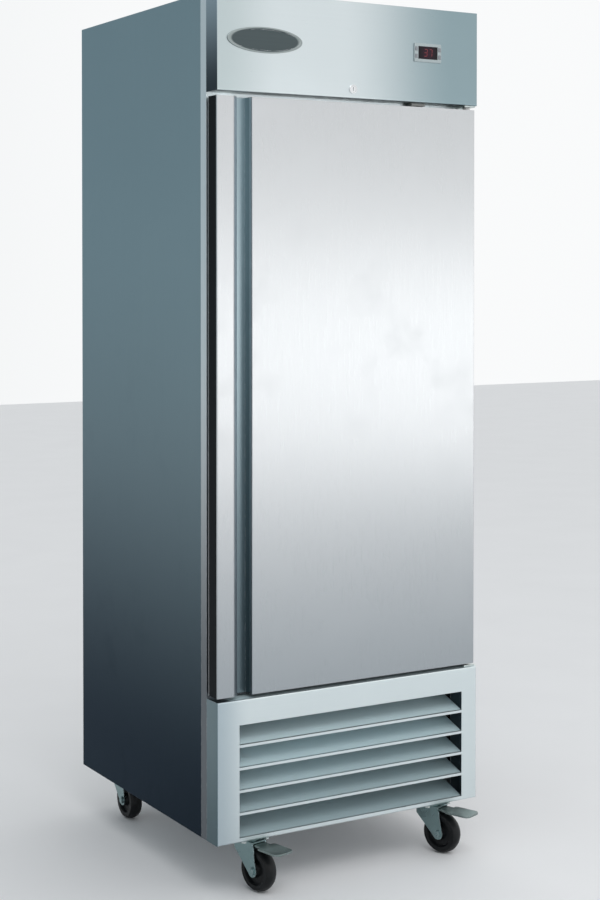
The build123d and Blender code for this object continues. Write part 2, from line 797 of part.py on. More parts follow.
def fan_motors():
    """Two shaded-pole motors with their shafts and hangers."""
    y = evaporator_fan_y
    hub_z = evaporator_motor_z()
    up = rod((0, y, hub_z + 26), (0, y, hub_z + 80), 28.0)
    up = fillet(up.edges().filter_by(GeomType.CIRCLE), 4.0)
    up += rod((0, y, hub_z + 5), (0, y, hub_z + 30), shaft_radius)
    up += block(-30, 30, y - 5, y + 5, hub_z + 76, inner_roof)
    fan_x, fan_z = condenser_fan_centre
    fan_y = condenser[3] + 18.0
    back = rod((fan_x, fan_y + 32, fan_z), (fan_x, fan_y + 90, fan_z), 30.0)
    back = fillet(back.edges().filter_by(GeomType.CIRCLE), 4.0)
    back += rod((fan_x, fan_y + 5, fan_z), (fan_x, fan_y + 36, fan_z), shaft_radius)
    back += block(fan_x - 20, fan_x + 20, fan_y + 55, fan_y + 61, deck_top, fan_z - 20)
    return group([up, back])


def evaporator_fan():
    """The fan that blows down into the food compartment."""
    rotor = fan_blades(evaporator_fan_radius, 16.0, 20.0, 4)
    turned = mirror(rotor, Plane.XY)
    return Pos(0, evaporator_fan_y, evaporator_motor_z() + 20.0) * turned


def condenser_fan():
    """The fan that draws air through the grille and the condenser."""
    rotor = fan_blades(condenser_fan_radius, 20.0, 24.0, 5)
    fan_x, fan_z = condenser_fan_centre
    turned = Rot(90, 0, 0) * rotor
    return Pos(fan_x, condenser[3] + 18.0 + 24.0, fan_z) * turned


def condenser_shroud():
    """The sheet box that ties the fan's ring to the condenser."""
    x0, x1, _, y1, z0, z1 = condenser_box
    fan_x, fan_z = condenser_fan_centre
    shroud = block(x0, x1, y1, y1 + 46, z0, z1)
    shroud -= block(x0 + sheet, x1 - sheet, y1 - 1, y1 + 46 - sheet, z0 + sheet, z1 - sheet)
    ring_r = condenser_fan_radius + 7
    ring = rod((fan_x, y1 + 20, fan_z), (fan_x, y1 + 52, fan_z), ring_r + sheet)
    shroud += ring
    shroud -= rod((fan_x, y1 + 10, fan_z), (fan_x, y1 + 60, fan_z), ring_r)
    foot = block(x0, x1, y1, y1 + 40, deck_top, z0)
    foot -= block(x0 + sheet, x1 - sheet, y1 - 1, y1 + 41, deck_top + sheet, z0 + 1)
    return shroud + foot


def compressor():
    """The hermetic compressor: a domed shell, its terminal box, base plate and feet."""
    x, y = compressor_at
    plate_z = deck_top + 12.0
    plate = block(x - 80, x + 80, y - 80, y + 80, plate_z, plate_z + 4)
    shell = rod((x, y, plate_z + 4), (x, y, plate_z + 165), compressor_radius)
    shell = fillet(shell.faces().sort_by(Axis.Z)[-1].edges(), 38.0)
    seam = rod((x, y, plate_z + 88), (x, y, plate_z + 96), compressor_radius + 3)
    box = block(x - compressor_radius - 22, x - compressor_radius + 12, y - 26, y + 26,
                plate_z + 30, plate_z + 84)
    unit = plate + shell + seam + box
    for dx in (-68, 68):
        for dy in (-68, 68):
            unit += rod((x + dx, y + dy, deck_top), (x + dx, y + dy, plate_z), 9.0)
    return unit


def pipe(points, bend):
    """A copper tube along runs joined by bends."""
    path = FilletPolyline(*points, radius=bend)
    start = Plane(origin=path @ 0, z_dir=path % 0)
    return sweep(start * Circle(pipe_radius), path=path)


def refrigerant_lines():
    """Discharge, suction and liquid lines, the last with its filter drier."""
    x, y = compressor_at
    _, coil_x, coil_y0, coil_y1, coil_z0, coil_z1 = condenser_box
    coil_y = (coil_y0 + coil_y1) / 2
    shell_z = deck_top + 130.0
    high = coil_z1 - 30.0
    low = coil_z0 + 12.0
    side = coil_x + 40.0
    discharge = pipe([
        (x, y - compressor_radius, shell_z), (x, 300, shell_z), (x, 300, high),
        (x, coil_y, high), (coil_x, coil_y, high)], 22.0)
    suction_x = x + compressor_radius + 46.0
    suction = pipe([
        (suction_x, y + 60, machine_ceiling_z), (suction_x, y + 60, shell_z),
        (suction_x, y, shell_z), (x + compressor_radius, y, shell_z)], 20.0)
    liquid = pipe([
        (coil_x, coil_y, low), (side, coil_y, low), (side, 440, low),
        (side, 440, machine_ceiling_z)], 22.0)
    liquid += rod((side, 290, low), (side, 380, low), 11.0)
    return group([discharge, suction, liquid])


def evaporation_pan():
    """The open tray that catches and dries the defrost water."""
    y1 = rear_cover_y - rail_leg - 6.0
    tray = block(-320, -20, 500, y1, deck_top, deck_top + 38)
    tray = fillet(tray.edges().filter_by(Axis.Z), 12.0)
    hollow = block(-318, -22, 502, y1 - 2, deck_top + 2, deck_top + 40)
    return tray - fillet(hollow.edges().filter_by(Axis.Z), 10.0)


def junction_box():
    """The electrical box on the machine deck, with its lid."""
    body = block(240, 330, 250, 390, deck_top, deck_top + 90)
    body = fillet(body.edges().filter_by(Axis.Z), 5.0)
    lid = block(237, 333, 247, 393, deck_top + 90, deck_top + 96)
    return body + fillet(lid.edges().filter_by(Axis.Z), 7.0)


def cable_gland():
    """The gland in the rear cover that the supply cable would pass through."""
    x, z = gland_centre
    y = rear_cover_y
    gland = rod((x, y - 8, z), (x, y + 10, z), cable_radius + 3.5)
    gland += rod((x, y - 7, z), (x, y, z), cable_radius + 7)
    gland += rod((x, y + sheet, z), (x, y + sheet + 4, z), cable_radius + 8)
    gland += Pos(x, y + sheet + 4, z) * Rot(-90, 0, 0) * extrude(RegularPolygon(12.0, 6), 5)
    return gland - rod((x, y - 9, z), (x, y + 12, z), cable_radius)


def light_fixture():
    """The lamp strip behind the lintel."""
    y0 = face_y + sheet + lintel_wall
    lamp = block(-180, 180, y0, y0 + 18, lintel_z + 6, lintel_z + 26)
    return fillet(lamp.edges().filter_by(Axis.X).sort_by(Axis.Y)[-2:], 7.0)


# ---------------------------------------------------------------- casters


def caster_places():
    """Each caster's kingpin and how far it is turned."""
    front = half - front_casters_in
    rear = half - rear_casters_in
    spots = {
        "front_left": (-front, front_kingpin),
        "front_right": (front, front_kingpin),
        "rear_left": (-rear, rear_kingpin),
        "rear_right": (rear, rear_kingpin),
    }
    return {name: (x, y, caster_turns[name]) for name, (x, y) in spots.items()}


def bolt_offsets():
    """The four bolt holes of a caster's top plate."""
    out = plate_size / 2 - 7.0
    return [(dx, dy) for dx in (-out, out) for dy in (-out, out)]


def caster_plate():
    """A top plate with the fixed race and the kingpin's head."""
    z0 = caster_height - plate_thickness
    plate = block(-plate_size / 2, plate_size / 2, -plate_size / 2, plate_size / 2, z0, caster_height)
    plate = fillet(plate.edges().filter_by(Axis.Z), 6.0)
    race = rod((0, 0, crown_height + 5), (0, 0, z0), 25.0)
    pin = rod((0, 0, crown_height - 3.5), (0, 0, z0), kingpin_radius)
    head = rod((0, 0, crown_height - 3.5), (0, 0, crown_height - axial_gap), 10.0)
    holes = [rod((x, y, z0 - 1), (x, y, caster_height + 1), 4.0) for x, y in bolt_offsets()]
    return plate + race + pin + head - holes


def caster_fork():
    """The pressed fork: two cheeks and a crown, with the axle bolt and the pedal's pin."""
    inner = fork_gap / 2
    outer = inner + fork_plate
    outline = make_face(Polyline((28, crown_height), (-36, crown_height), (-49, wheel_radius),
                                 (-22, wheel_radius - 6), (28, crown_height - 20), close=True))
    outline += Pos(-caster_trail, wheel_radius) * Circle(14.0)
    cheek = Pos(inner, 0, 0) * extrude(Plane.YZ * outline, fork_plate)
    fork = cheek + mirror(cheek, Plane.YZ)
    fork += block(-outer, outer, -36, 28, crown_height, crown_height + 3)
    fork += rod((0, 0, crown_height + 3), (0, 0, crown_height + 5 - axial_gap), 25.0)
    fork -= rod((0, 0, crown_height - 1), (0, 0, crown_height + 6), kingpin_radius + running_fit)
    y = -caster_trail
    axle = rod((-outer - 5, y, wheel_radius), (outer + 5, y, wheel_radius), axle_radius)
    fork -= axle
    for side in (-1, 1):
        axle += rod((side * outer, y, wheel_radius), (side * (outer + 4), y, wheel_radius), 9.0)
    return fork, axle


def pedal_pin():
    """The cross pin that the brake pedal turns on."""
    outer = fork_gap / 2 + fork_plate
    return rod((-outer, -pedal_pin_ahead, pedal_pin_height),
               (outer, -pedal_pin_ahead, pedal_pin_height), pedal_pin_radius)


def caster_wheel():
    """A crowned tyre on a recessed hub, bored for the axle."""
    hub = fork_gap / 2 - 1.5
    edge = wheel_width / 2
    bore = axle_radius + running_fit
    rim = 34.0
    shoulder = wheel_radius - 6.0
    half_section = [
        Line((-hub, bore), (hub, bore)),
        Polyline((hub, bore), (hub, 14), (edge - 7, 17), (edge - 7, rim - 3), (edge, rim),
                 (edge, shoulder)),
        ThreePointArc((edge, shoulder), (0, wheel_radius), (-edge, shoulder)),
        Polyline((-edge, shoulder), (-edge, rim), (-edge + 7, rim - 3), (-edge + 7, 17),
                 (-hub, 14), (-hub, bore)),
    ]
    section = make_face(Curve() + half_section)
    wheel = revolve(section, Axis.X)
    return Pos(0, -caster_trail, wheel_radius) * wheel


def brake_pedal():
    """A pressed pedal with a broad toe, its sleeve and the brake shoe under it."""
    y_pin = -pedal_pin_ahead
    sleeve_half = fork_gap / 2 - 0.6
    toe_start = 58.0
    low = pedal_pin_height + 1.2
    thick = 4.0
    arm = block(-sleeve_half + 1, sleeve_half - 1, -toe_start - 2, y_pin, low, low + thick)
    toe = block(-pedal_width / 2, pedal_width / 2, -pedal_reach, -toe_start, low, low + thick)
    front = toe.edges().filter_by(Axis.Z).sort_by(Axis.Y)
    toe = fillet(front[:2], 14.0)
    toe = fillet(toe.edges().filter_by(Axis.Z).sort_by(Axis.Y)[-2:], 8.0)
    rib = block(-pedal_width / 2 + 9, pedal_width / 2 - 9, -pedal_reach + 10, -toe_start - 14,
                low - 3, low)
    sleeve = rod((-sleeve_half, y_pin, pedal_pin_height), (sleeve_half, y_pin, pedal_pin_height), 5.4)
    shoe = block(-12, 12, -52, -40, low - 3.5, low)
    bore = rod((-sleeve_half - 1, y_pin, pedal_pin_height),
               (sleeve_half + 1, y_pin, pedal_pin_height), pedal_pin_radius + running_fit)
    return arm + toe + rib + sleeve + shoe - bore


def place_casters():
    """All four casters, each turned about its kingpin, with pedals on the front two."""
    plates = []
    plate = caster_plate()
    fork, axle = caster_fork()
    pin = pedal_pin()
    wheel = caster_wheel()
    pedal = brake_pedal()
    for name, (x, y, turn) in caster_places().items():
        spot = Pos(x, y, 0)
        turned = spot * Rot(0, 0, turn)
        plates.append(spot * plate)
        braked = name.startswith("front")
        solids = [fork - pin, axle, pin] if braked else [fork, axle]
        parts[f"caster_fork_{name}"] = group([turned * solid for solid in solids])
        parts[f"caster_wheel_{name}"] = turned * wheel
        if braked:
            parts[f"brake_pedal_{name}"] = turned * pedal
    parts["caster_plates"] = group(plates)


def fasteners():
    """Caster bolts, hinge bracket screws and the rear cover's screws."""
    solids = []
    plate_z = caster_height - plate_thickness
    for x, y, _ in caster_places().values():
        for dx, dy in bolt_offsets():
            head = extrude(Pos(x + dx, y + dy, plate_z - 4.5) * RegularPolygon(6.5, 6), 4.5)
            shank = rod((x + dx, y + dy, plate_z), (x + dx, y + dy, caster_height), 4.0)
            solids.append(head + shank)
    for x, z in bracket_screws():
        head = rod((x, face_y - hinge_plate - 1.8, z), (x, face_y - hinge_plate, z), 4.5)
        head = fillet(head.faces().sort_by(Axis.Y)[0].edges(), 1.2)
        shank = rod((x, face_y - hinge_plate, z), (x, face_y, z), 2.5)
        solids.append(head + shank)
    cover_y = rear_cover_y + sheet
    for x in (-panel_half + 14, 0, panel_half - 14):
        for z in (deck_top + 14, machine_top - 14):
            head = rod((x, cover_y, z), (x, cover_y + 2, z), 5.0)
            solids.append(fillet(head.faces().sort_by(Axis.Y)[-1].edges(), 1.4))
    return group(solids)


# ---------------------------------------------------------------- the whole object

side_left, side_right, roof_sheet, back_sheet = outer_panels()
parts["side_panel_left"] = side_left
parts["side_panel_right"] = side_right
parts["top_panel"] = roof_sheet
parts["back_panel"] = back_sheet
parts["face_frame"] = face_frame()
parts["liner"] = liner()
parts["insulation"] = insulation()
parts["base_frame"] = base_frame()
parts["machine_bay_sheets"] = group([compressor_deck(), machine_ceiling()])
parts["rear_grille"] = rear_cover()
parts["header_panel"] = header_panel()
parts["name_badge"] = name_badge()
parts["controller_bezel"] = controller_bezel()
parts["display_window"] = display_window()
parts.update(keys())
parts["lock_housing"] = lock_housing()
parts["lock_cylinder"] = lock_cylinder()
parts["lock_bolt"] = lock_bolt()
parts["door_switch"] = door_switch()
parts["louvre_grille"] = louvre_grille()
parts["hinge_brackets"] = hinge_brackets()
parts["hinge_bushes"] = hinge_bushes()
parts["door_skin"] = door_skin()
parts["door_edge_trim"] = door_edge_trim()
parts["door_foam"] = door_foam()
parts["door_liner"] = door_liner()
parts["door_gasket"] = door_gasket()
parts["shelf_pilasters"] = shelf_pilasters()
parts["shelf_clips"] = shelf_clips()
shelf = wire_shelf()
for number, height in enumerate(shelf_heights(), start=1):
    parts[f"wire_shelf_{number}"] = Pos(0, 0, height) * shelf
roof_coil_z = inner_roof - evaporator_drop
parts["evaporator_cover"] = evaporator_hood()
parts["evaporator_coil"] = finned_coil(-190, 190, 400, 600, roof_coil_z + 20, inner_roof - 24)
parts["fan_motors"] = fan_motors()
parts["evaporator_fan"] = evaporator_fan()
parts["light_fixture"] = light_fixture()
parts["condenser_coil"] = finned_coil(*condenser_box)
parts["condenser_shroud"] = condenser_shroud()
parts["condenser_fan"] = condenser_fan()
parts["compressor"] = compressor()
parts["refrigerant_lines"] = refrigerant_lines()
parts["evaporation_pan"] = evaporation_pan()
parts["junction_box"] = junction_box()
parts["cable_gland"] = cable_gland()
place_casters()
parts["fasteners"] = fasteners()

boxes = [shape.bounding_box() for shape in parts.values()]
y_front = min(box.min.Y for box in boxes)
y_back = max(box.max.Y for box in boxes)
shift = -(y_front + y_back) / 2
for name, shape in parts.items():
    export_step(Pos(0, shift, 0) * shape, f"parts/{name}.step")
print(f"nodes {len(parts)}, moved {shift:.3f} mm along Y, door axis {hinge_x:.2f} {hinge_y + shift:.2f}")
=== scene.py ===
import math

import bmesh
import bpy
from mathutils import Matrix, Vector


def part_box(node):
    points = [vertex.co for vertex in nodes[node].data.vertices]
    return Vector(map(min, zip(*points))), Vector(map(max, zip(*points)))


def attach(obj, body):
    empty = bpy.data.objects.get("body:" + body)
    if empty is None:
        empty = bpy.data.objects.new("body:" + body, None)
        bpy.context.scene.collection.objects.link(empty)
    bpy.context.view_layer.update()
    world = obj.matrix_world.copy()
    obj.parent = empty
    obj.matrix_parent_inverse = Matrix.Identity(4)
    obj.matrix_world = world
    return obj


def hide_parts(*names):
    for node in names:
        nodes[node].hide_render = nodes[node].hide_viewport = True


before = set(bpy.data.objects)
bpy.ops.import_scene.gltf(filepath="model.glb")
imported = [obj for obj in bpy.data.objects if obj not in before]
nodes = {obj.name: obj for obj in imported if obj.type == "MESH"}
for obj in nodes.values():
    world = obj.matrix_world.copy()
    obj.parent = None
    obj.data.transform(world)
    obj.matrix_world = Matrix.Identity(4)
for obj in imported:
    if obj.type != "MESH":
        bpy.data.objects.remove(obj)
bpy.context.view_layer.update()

# ---------------------------------------------------------------- cabinet sides, roof and front frame
# Folded sheets of satin stainless steel, brushed up and down, pulled tight over the foam.
# The sides and the frame wrap are one dull blue-grey.


class Signal:
    """One output in a finish's nodes. A sum written with it adds Math nodes."""

    def __init__(self, socket):
        self.socket = socket

    def node(self, kind, settings=None, inputs=None, output=0):
        """Add any other node: first its settings, then the values or links of its inputs."""
        made = self.socket.id_data.nodes.new("ShaderNode" + kind)
        for setting, value in (settings or {}).items():
            setattr(made, setting, value)
        for key, value in (inputs or {}).items():
            if isinstance(value, Signal):
                self.socket.id_data.links.new(value.socket, made.inputs[key])
            else:
                made.inputs[key].default_value = value
        return Signal(made.outputs[output])

    def math(self, operation, first, second=0.0):
        return self.node("Math", {"operation": operation}, {0: first, 1: second})

    def __add__(self, other):
        return self.math("ADD", self, other)

    def __sub__(self, other):
        return self.math("SUBTRACT", self, other)

    def __rsub__(self, other):
        return self.math("SUBTRACT", other, self)

    def __mul__(self, other):
        return self.math("MULTIPLY", self, other)

    def __truediv__(self, other):
        return self.math("DIVIDE", self, other)

    def above(self, low, high):
        """0 below low, 1 above high, smooth between."""
        return self.node("MapRange", {"interpolation_type": "SMOOTHSTEP"}, {0: self, 1: low, 2: high})

    def mix(self, first, second):
        """A colour between two, by this signal."""
        return self.node("Mix", {"data_type": "RGBA"}, {0: self, 6: first, 7: second}, output=2)


def shader_of(material):
    return material.node_tree.nodes["Principled BSDF"]


def start_finish(name, metal, roughness, **fixed):
    """A new material: its shader with the values that are the same all over, and the place on the object."""
    material = bpy.data.materials.new(name)
    material.use_nodes = True
    shader = shader_of(material)
    shader.inputs["Metallic"].default_value = metal
    shader.inputs["Roughness"].default_value = roughness
    for key, value in fixed.items():
        shader.inputs[key.replace("_", " ")].default_value = value
    place = Signal(material.node_tree.nodes.new("ShaderNodeTexCoord").outputs["Object"])
    return material, shader, place


def feed(shader, key, signal):
    """Link a signal to one of the shader's inputs."""
    shader.id_data.links.new(signal.socket, shader.inputs[key])


def noise(place, scale, detail=2.0, roughness=0.5):
    """Cloudy noise; scale is a number, or one number for each axis."""
    if isinstance(scale, tuple):
        place = place.node("Mapping", None, {"Vector": place, "Scale": scale})
        scale = 1.0
    return place.node("TexNoise", None, {"Vector": place, "Scale": scale, "Detail": detail,
                                         "Roughness": roughness})


def rounded_normal(place, radius, height=None, distance=0.0001, strength=0.3):
    """A normal whose sharp edges look rounded by radius, with a fine relief on top."""
    soft = place.node("Bevel", {"samples": 4}, {"Radius": radius})
    if height is None:
        return soft
    return place.node("Bump", None, {"Height": height, "Distance": distance, "Strength": strength,
                                     "Normal": soft})


def edge_wear(place, radius):
    """1 along sharp outer edges, 0 on flat faces."""
    soft = place.node("Bevel", {"samples": 4}, {"Radius": radius})
    true = place.node("NewGeometry", output=1)
    bend = place.node("VectorMath", {"operation": "DOT_PRODUCT"}, {0: soft, 1: true}, output=1)
    return (1.0 - bend).above(0.01, 0.12)


def axis(place, number):
    """How far along X, Y or Z a place is."""
    return place.node("SeparateXYZ", None, {0: place}, output=number)


def brushed_steel(name, pale, deep, roughness, grain_axis, streak=0.35, shade=None):
    """Satin stainless steel: long fine scratches along one axis, faint clouding and rubbed edges.
    shade takes the place and the colour, and gives the colour with its painted shade."""
    material, shader, place = start_finish(name, 1.0, roughness)
    fine = [1400.0, 1400.0, 1400.0]
    broad = [170.0, 170.0, 170.0]
    fine[grain_axis] = 14.0
    broad[grain_axis] = 1.6
    scratch = noise(place, tuple(fine), 2.0, 0.6)
    band = noise(place, tuple(broad), 3.0, 0.6)
    cloud = noise(place, 2.3, 3.0)
    tone = (scratch * 0.35 + band * 0.65 - 0.5) * streak + (cloud - 0.5) * 0.35 + 0.5
    colour = tone.mix(deep, pale)
    if shade:
        colour = shade(place, colour)
    worn = edge_wear(place, 0.0012) * noise(place, 60.0).above(0.4, 0.6)
    feed(shader, "Base Color", (worn * 0.6).mix(colour, (0.82, 0.83, 0.84, 1)))
    smudge = noise(place, 7.0, 4.0, 0.6).above(0.5, 0.75)
    feed(shader, "Roughness", scratch * 0.10 + smudge * 0.05 + (roughness - 0.06))
    feed(shader, "Normal", rounded_normal(place, 0.0009, scratch + band * 0.1, 0.00005, 0.3))
    return material


def side_painted_shade(place, colour):
    """Painted shade: the sides are painted darker towards the floor."""
    return axis(place, 2).above(0.20, 1.64).mix((0.014, 0.020, 0.029, 1), colour)


def frame_painted_shade(place, colour):
    """Painted shade: the frame's wrapped edge is painted darker towards the floor in the same way."""
    return axis(place, 2).above(0.45, 1.45).mix((0.13, 0.145, 0.16, 1), colour)


side_steel = brushed_steel("side_steel", (0.38, 0.50, 0.54, 1), (0.32, 0.43, 0.465, 1), 0.36, 2,
                           shade=side_painted_shade)
shader_of(side_steel).inputs["Specular Tint"].default_value = (0.62, 0.68, 0.74, 1)
frame_steel = brushed_steel("frame_steel", (0.90, 0.96, 0.97, 1), (0.80, 0.87, 0.90, 1), 0.34, 2,
                            shade=frame_painted_shade)


def dress(finish, *names):
    """Give CAD nodes a finish."""
    for name in names:
        mesh = nodes[name].data
        mesh.materials.clear()
        mesh.materials.append(finish)


dress(side_steel, "side_panel_left", "side_panel_right", "top_panel")
dress(frame_steel, "face_frame")

# ---------------------------------------------------------------- back sheet, deck, rails and rear cover
# Zinc-coated steel with its faint crystal pattern, sheared and bent, unpainted.
# Dull dark stains are scattered over it.


def zinc_steel(name, pale, deep, roughness=0.42, crystal=85.0, stain=0.35):
    """Zinc-coated sheet: faceted crystals in two greys, dull stains and edges rubbed bright."""
    material, shader, place = start_finish(name, 1.0, roughness)
    spangle = place.node("TexVoronoi", {"feature": "F1"}, {"Vector": place, "Scale": crystal},
                         output="Color")
    grey = place.node("RGBToBW", None, {0: spangle})
    cloud = noise(place, 9.0, 4.0)
    dull = noise(place, 30.0, 5.0, 0.65).above(0.55, 0.75)
    colour = (grey * 0.5 + cloud * 0.5).mix(deep, pale)
    worn = edge_wear(place, 0.0010)
    colour = (dull * stain).mix(colour, (0.20, 0.20, 0.19, 1))
    feed(shader, "Base Color", (worn * 0.5).mix(colour, (0.75, 0.77, 0.78, 1)))
    feed(shader, "Roughness", grey * 0.16 + dull * 0.14 + (roughness - 0.08))
    feed(shader, "Normal", rounded_normal(place, 0.0006, cloud + grey * 0.2, 0.0002, 0.25))
    return material


zinc_sheet = zinc_steel("zinc_sheet", (0.62, 0.65, 0.66, 1), (0.42, 0.45, 0.47, 1))
dress(zinc_sheet, "back_panel", "base_frame", "machine_bay_sheets", "rear_grille",
      "condenser_shroud")

# ---------------------------------------------------------------- food compartment
# A polished stainless box with foam behind it, slotted posts on its sides and bent zinc clips.
# Three welded wire shelves are dipped in pale grey plastic.

liner_steel = brushed_steel("liner_steel", (0.76, 0.77, 0.78, 1), (0.64, 0.65, 0.67, 1), 0.30, 2, 0.25)
dress(liner_steel, "liner", "shelf_pilasters", "door_liner", "evaporator_cover")


def foam_finish():
    """Rigid yellow foam, skinned over, with fine cells and darker flow lines."""
    material, shader, place = start_finish("rigid_foam", 0.0, 0.85)
    cells = place.node("TexVoronoi", {"feature": "F1"}, {"Vector": place, "Scale": 900.0}, output="Distance")
    flow = noise(place, (6.0, 6.0, 22.0), 5.0, 0.6)
    feed(shader, "Base Color", (flow * 0.8 + cells * 0.2).mix((0.66, 0.52, 0.26, 1), (0.88, 0.78, 0.50, 1)))
    feed(shader, "Roughness", cells * 0.2 + 0.7)
    feed(shader, "Normal", rounded_normal(place, 0.001, cells + flow, 0.0006, 0.5))
    return material


dress(foam_finish(), "insulation", "door_foam")


def coated(name, pale, deep, roughness, pitting, wear, coat=0.0):
    """Paint, plastic or dip coating: orange-peel relief, faint mottling and scuffs along the edges."""
    material, shader, place = start_finish(name, 0.0, roughness)
    shader.inputs["Coat Weight"].default_value = coat
    peel = noise(place, pitting, 3.0)
    mottle = noise(place, 14.0, 4.0)
    scuff = noise(place, 45.0, 5.0, 0.7).above(0.58, 0.74)
    colour = (mottle * 0.7 + peel * 0.3).mix(deep, pale)
    colour = (edge_wear(place, 0.0009) * 0.55 + scuff * 0.12).mix(colour, wear)
    feed(shader, "Base Color", colour)
    feed(shader, "Roughness", peel * 0.10 + scuff * 0.12 + (roughness - 0.07))
    feed(shader, "Normal", rounded_normal(place, 0.0006, peel, 0.00012, 0.5))
    return material


shelf_dip = coated("shelf_dip", (0.74, 0.75, 0.76, 1), (0.62, 0.63, 0.64, 1), 0.34, 420.0,
                   (0.45, 0.46, 0.47, 1), coat=0.3)
dress(shelf_dip, "wire_shelf_1", "wire_shelf_2", "wire_shelf_3")
zinc_small = zinc_steel("zinc_small", (0.66, 0.71, 0.70, 1), (0.45, 0.51, 0.50, 1), 0.34, 420.0)
dress(zinc_small, "shelf_clips", "lock_bolt")

# ---------------------------------------------------------------- header
# One folded stainless fascia, brushed side to side. On it are a blank oval plate, the temperature
# controller in its plastic bezel, and the key lock with its chromed sleeve.

header_low, header_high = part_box("header_panel")
fold = 0.0008  # how far in from a folded end its own shade reaches


def header_painted_shade(place, colour):
    """Painted shade: duller towards the hinge side; the folded end is painted darker, most of all at its
    foot.
    """
    x = axis(place, 0)
    colour = x.above(-0.04, 0.30).mix(colour, (0.27, 0.36, 0.39, 1))
    colour = x.above(-0.36, -0.20).mix((0.50, 0.57, 0.58, 1), colour)
    end = axis(place, 2).above(header_low.z, header_high.z + 0.04).mix((0.020, 0.035, 0.048, 1),
                                                                      (0.46, 0.56, 0.62, 1))
    return x.above(header_low.x + fold, header_low.x + fold * 3).mix(end, colour)


header_steel = brushed_steel("header_steel", (0.70, 0.755, 0.77, 1), (0.58, 0.64, 0.66, 1), 0.31, 0, 0.25,
                             shade=header_painted_shade)
dress(header_steel, "header_panel")

badge_low, badge_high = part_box("name_badge")
badge_middle = (badge_low + badge_high) / 2
badge_half = (badge_high - badge_low) / 2


def badge_painted_highlight(place, colour):
    """Painted highlight: the raised rim is painted bright; the blank field inside it stays dark."""
    across = (axis(place, 0) - badge_middle.x) / badge_half.x
    up = (axis(place, 2) - badge_middle.z) / badge_half.z
    out = across * across + up * up
    return out.above(0.74, 0.86).mix(colour, (0.30, 0.34, 0.34, 1))


badge_dark = brushed_steel("badge_dark", (0.10, 0.125, 0.13, 1), (0.055, 0.07, 0.075, 1), 0.42, 0, 0.5,
                           shade=badge_painted_highlight)
dress(badge_dark, "name_badge")

bezel_plastic = coated("bezel_plastic", (0.40, 0.46, 0.47, 1), (0.30, 0.35, 0.36, 1), 0.48, 700.0,
                       (0.62, 0.64, 0.66, 1))
dress(bezel_plastic, "controller_bezel")
key_plastic = coated("key_plastic", (0.26, 0.27, 0.29, 1), (0.18, 0.19, 0.21, 1), 0.5, 900.0,
                     (0.40, 0.41, 0.43, 1))
dress(key_plastic, "key_set", "key_light", "key_up", "key_down")


def lens_finish():
    """Smoked acrylic over the display: near black, with a faint plum glow and fine wiping marks."""
    material, shader, place = start_finish("smoked_lens", 0.0, 0.12, Emission_Strength=1.0,
                                           Specular_IOR_Level=0.2)
    low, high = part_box("display_window")
    middle = (low + high) / 2
    offset = place.node("VectorMath", {"operation": "SUBTRACT"}, {0: place, 1: tuple(middle)})
    away = place.node("VectorMath", {"operation": "LENGTH"}, {0: offset}, output=1)
    wipe = noise(place, (900.0, 900.0, 90.0), 3.0)
    glow = 1.0 - away.above(0.002, 0.026)
    feed(shader, "Base Color", wipe.mix((0.006, 0.005, 0.007, 1), (0.014, 0.011, 0.015, 1)))
    feed(shader, "Emission Color", glow.mix((0.0, 0.0, 0.0, 1), (0.022, 0.003, 0.010, 1)))
    feed(shader, "Roughness", wipe * 0.12 + 0.07)
    feed(shader, "Normal", rounded_normal(place, 0.0004))
    return material


dress(lens_finish(), "display_window")


def new_piece(name, mesh, finish, body):
    """A Blender piece on a CAD body, with its finish."""
    piece = bpy.data.objects.new(name, mesh)
    bpy.context.scene.collection.objects.link(piece)
    mesh.materials.append(finish)
    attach(piece, body)
    return piece


def mesh_from(build, name):
    """A mesh made by a function that fills a bmesh."""
    shape = bmesh.new()
    build(shape)
    bmesh.ops.recalc_face_normals(shape, faces=shape.faces)
    mesh = bpy.data.meshes.new(name)
    shape.to_mesh(mesh)
    shape.free()
    return mesh


digit_bars = {"3": "abcdg", "7": "abc"}
bar_length = 0.0085
bar_half = 0.0007
bar_gap = 0.0004
bar_thickness = 0.0006
digit_lean = 0.10


def digit_shape(shape, digit, x, y, z):
    """The lit bars of one seven-bar digit, each a flat lozenge with pointed ends."""
    h = bar_length
    spots = {"a": (0, h, 0), "b": (h / 2, h / 2, 1), "c": (h / 2, -h / 2, 1), "d": (0, -h, 0),
             "g": (0, 0, 0)}
    for bar in digit_bars[digit]:
        dx, dz, upright = spots[bar]
        reach = h / 2 - bar_gap
        outline = [(-reach, 0), (-reach + bar_half, bar_half), (reach - bar_half, bar_half),
                   (reach, 0), (reach - bar_half, -bar_half), (-reach + bar_half, -bar_half)]
        rings = []
        for back in (0.0, bar_thickness):
            ring = []
            for u, v in outline:
                px, pz = (v, u) if upright else (u, v)
                lean = (dz + pz) * digit_lean
                ring.append(shape.verts.new((x + dx + px + lean, y + back, z + dz + pz)))
            rings.append(ring)
        shape.faces.new(rings[0])
        shape.faces.new(rings[1][::-1])
        for n in range(6):
            shape.faces.new([rings[0][n], rings[0][n - 1], rings[1][n - 1], rings[1][n]])


def digit_light():
    """Dim red light-emitting bars with a faint grain."""
    material, shader, place = start_finish("digit_light", 0.0, 0.4, Emission_Strength=1.0)
    speck = noise(place, 1200.0, 2.0)
    feed(shader, "Base Color", speck.mix((0.10, 0.01, 0.01, 1), (0.16, 0.02, 0.02, 1)))
    feed(shader, "Emission Color", speck.mix((0.06, 0.004, 0.010, 1), (0.12, 0.008, 0.018, 1)))
    return material


